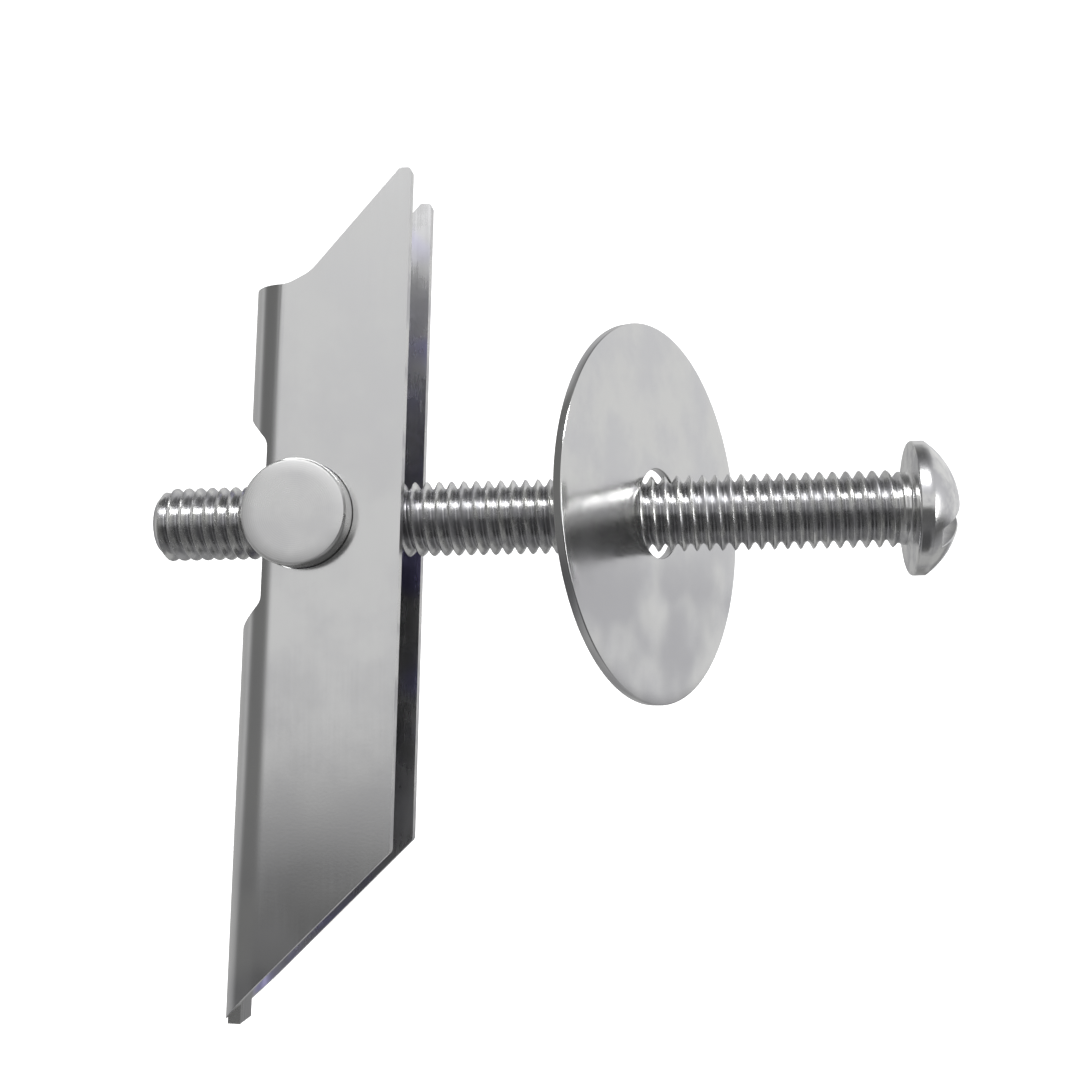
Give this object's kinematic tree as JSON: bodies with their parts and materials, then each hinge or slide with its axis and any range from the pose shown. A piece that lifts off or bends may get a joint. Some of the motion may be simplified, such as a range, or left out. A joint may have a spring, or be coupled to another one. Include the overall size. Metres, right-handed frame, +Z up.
{
  "type": "gravity toggle bolt",
  "caption": "Gravity toggle wall anchor: slotted pan-head screw, wide flat washer, and a folded sheet toggle that swings on a round trunnion nut.",
  "frame": {"origin": "on the screw's axis, in the plane of the flat seat under the head", "axes": "+X along the screw toward its head, +Z up the toggle's short arm, +Y along the trunnion nut"},
  "size_m": [0.0636, 0.0274, 0.0672],
  "materials": {
    "plated_screw": "bright zinc plate on a rolled thread",
    "plated_washer": "satin zinc plate on a stamped blank",
    "plated_sheet": "satin zinc plate on folded sheet",
    "plated_pin": "dull zinc plate on a cropped bar"
  },
  "bodies": {
    "screw": {"screw": "plated_screw"},
    "washer": {"washer": "plated_washer"},
    "trunnion": {"trunnion_nut": "plated_pin"},
    "channel": {"toggle_channel": "plated_sheet"}
  },
  "joints": [
    {"name": "nut_travel", "type": "slide", "parent": "screw", "child": "trunnion", "axis": [1, 0, 0], "range_m": [-0.008, 0.004]},
    {"name": "toggle_swing", "type": "hinge", "parent": "trunnion", "child": "channel", "pos_m": [-0.047, 0, 0], "axis": [0, 1, 0], "range_deg": [-34.5, 31.5]},
    {"name": "washer_slide", "type": "slide", "parent": "screw", "child": "washer", "axis": [1, 0, 0], "range_m": [0, 0.0155]}
  ]
}
